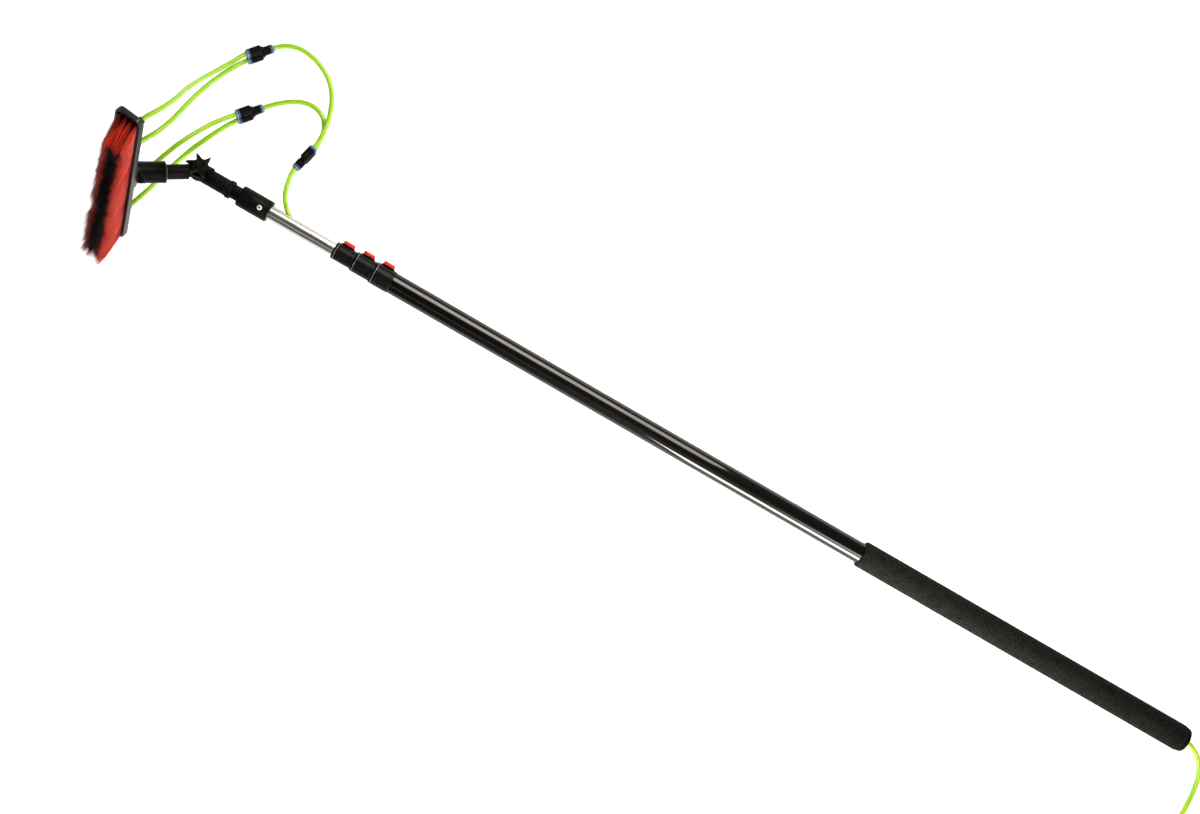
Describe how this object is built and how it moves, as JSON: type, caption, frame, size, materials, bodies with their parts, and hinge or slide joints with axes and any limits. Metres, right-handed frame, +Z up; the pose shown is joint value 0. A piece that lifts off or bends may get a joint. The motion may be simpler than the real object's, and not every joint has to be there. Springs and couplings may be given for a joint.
{
  "type": "water-fed window cleaning pole",
  "caption": "Telescopic pole with clamp collars, foam grip, hinged brush head and lime water hoses that feed jets on the back of the brush",
  "frame": {"origin": "centre of the bounding box in X and Y, on the floor the pole lies on, measured without the free hoses", "axes": "+X along the pole from the brush to the butt end, +Z up from the floor, +Y to the side the lock buttons face"},
  "size_m": [2.0425, 0.5879, 0.2925],
  "materials": {
    "outer_tube": "polished dark tube",
    "clamp_collar_3": "moulded",
    "lock_shoe_3": "zinc plated",
    "button_spring_3": "zinc plated",
    "foam_grip": "closed-cell foam",
    "butt_cap": "moulded",
    "tail_hose": "smooth polyurethane hose",
    "tail_coil": "smooth polyurethane hose",
    "coil_tie": "woven",
    "tap_connector": "moulded",
    "second_tube": "polished dark tube",
    "second_bush": "turned",
    "clamp_collar_2": "moulded",
    "lock_shoe_2": "zinc plated",
    "button_spring_2": "zinc plated",
    "third_tube": "polished dark tube",
    "third_bush": "turned",
    "clamp_collar_1": "moulded",
    "lock_shoe_1": "zinc plated",
    "button_spring_1": "zinc plated",
    "top_tube": "bright drawn",
    "top_bush": "turned",
    "pole_socket": "moulded",
    "socket_screw": "zinc plated",
    "lower_hinge_arm": "moulded",
    "lock_ring": "moulded",
    "hinge_bolt": "zinc plated",
    "inner_hose": "smooth polyurethane hose",
    "riser_hose": "smooth polyurethane hose",
    "hose_a": "smooth polyurethane hose",
    "hose_b": "smooth polyurethane hose",
    "hose_c": "smooth polyurethane hose",
    "hose_d": "smooth polyurethane hose",
    "hose_e": "smooth polyurethane hose",
    "hose_f": "smooth polyurethane hose",
    "y_connector_1": "moulded",
    "y_connector_2": "moulded",
    "y_connector_3": "moulded",
    "collet_1_single": "moulded",
    "collet_1_left": "moulded",
    "collet_1_right": "moulded",
    "collet_2_single": "moulded",
    "collet_2_left": "moulded",
    "collet_2_right": "moulded",
    "collet_3_single": "moulded",
    "collet_3_left": "moulded",
    "collet_3_right": "moulded",
    "upper_arm": "moulded",
    "brush_socket": "moulded",
    "brush_stock": "moulded",
    "outer_bristles": "bristle",
    "inner_bristles": "bristle",
    "jet_fitting_1": "moulded",
    "jet_fitting_2": "moulded",
    "jet_fitting_3": "moulded",
    "jet_fitting_4": "moulded",
    "star_knob": "moulded",
    "lock_button_3": "moulded",
    "lock_button_2": "moulded",
    "lock_button_1": "moulded"
  },
  "bodies": {
    "outer_section": {"outer_tube": "outer_tube", "clamp_collar_3": "clamp_collar_3", "lock_shoe_3": "lock_shoe_3", "button_spring_3": "button_spring_3", "foam_grip": "foam_grip", "butt_cap": "butt_cap", "tail_hose": "tail_hose", "tail_coil": "tail_coil", "coil_tie": "coil_tie", "tap_connector": "tap_connector"},
    "second_section": {"second_tube": "second_tube", "second_bush": "second_bush", "clamp_collar_2": "clamp_collar_2", "lock_shoe_2": "lock_shoe_2", "button_spring_2": "button_spring_2"},
    "third_section": {"third_tube": "third_tube", "third_bush": "third_bush", "clamp_collar_1": "clamp_collar_1", "lock_shoe_1": "lock_shoe_1", "button_spring_1": "button_spring_1"},
    "top_section": {"top_tube": "top_tube", "top_bush": "top_bush", "pole_socket": "pole_socket", "socket_screw": "socket_screw", "lower_hinge_arm": "lower_hinge_arm", "lock_ring": "lock_ring", "hinge_bolt": "hinge_bolt", "inner_hose": "inner_hose", "riser_hose": "riser_hose", "hose_a": "hose_a", "hose_b": "hose_b", "hose_c": "hose_c", "hose_d": "hose_d", "hose_e": "hose_e", "hose_f": "hose_f", "y_connector_1": "y_connector_1", "y_connector_2": "y_connector_2", "y_connector_3": "y_connector_3", "collet_1_single": "collet_1_single", "collet_1_left": "collet_1_left", "collet_1_right": "collet_1_right", "collet_2_single": "collet_2_single", "collet_2_left": "collet_2_left", "collet_2_right": "collet_2_right", "collet_3_single": "collet_3_single", "collet_3_left": "collet_3_left", "collet_3_right": "collet_3_right"},
    "head": {"upper_arm": "upper_arm", "brush_socket": "brush_socket", "brush_stock": "brush_stock", "outer_bristles": "outer_bristles", "inner_bristles": "inner_bristles", "jet_fitting_1": "jet_fitting_1", "jet_fitting_2": "jet_fitting_2", "jet_fitting_3": "jet_fitting_3", "jet_fitting_4": "jet_fitting_4"},
    "knob": {"star_knob": "star_knob"},
    "button_3": {"lock_button_3": "lock_button_3"},
    "button_2": {"lock_button_2": "lock_button_2"},
    "button_1": {"lock_button_1": "lock_button_1"}
  },
  "joints": [
    {"name": "second_slide", "type": "slide", "parent": "outer_section", "child": "second_section", "axis": [-0.9994, 0, 0.0349], "range_m": [0, 1.3]},
    {"name": "third_slide", "type": "slide", "parent": "second_section", "child": "third_section", "axis": [-0.9994, 0, 0.0349], "range_m": [0, 1.3]},
    {"name": "top_slide", "type": "slide", "parent": "third_section", "child": "top_section", "axis": [-0.9994, 0, 0.0349], "range_m": [0, 1.3]},
    {"name": "head_tilt", "type": "hinge", "parent": "top_section", "child": "head", "pos_m": [-0.87107, 0.093, 0.08731], "axis": [0.0295, 0.5343, 0.8447], "range_deg": [-35, 35], "deforming": ["hose_c", "hose_d", "hose_e", "hose_f"]},
    {"name": "knob_turn", "type": "hinge", "parent": "top_section", "child": "knob", "pos_m": [-0.87107, 0.093, 0.08731], "axis": [0.0295, 0.5343, 0.8447], "continuous": true},
    {"name": "button_3_press", "type": "slide", "parent": "outer_section", "child": "button_3", "axis": [0, -1, 0], "range_m": [0, 0.002], "stiffness_N_per_m": 1500, "springref_m": -0.001, "deforming": ["button_spring_3"]},
    {"name": "button_2_press", "type": "slide", "parent": "second_section", "child": "button_2", "axis": [0, -1, 0], "range_m": [0, 0.002], "stiffness_N_per_m": 1500, "springref_m": -0.001, "deforming": ["button_spring_2"]},
    {"name": "button_1_press", "type": "slide", "parent": "third_section", "child": "button_1", "axis": [0, -1, 0], "range_m": [0, 0.002], "stiffness_N_per_m": 1500, "springref_m": -0.001, "deforming": ["button_spring_1"]}
  ]
}
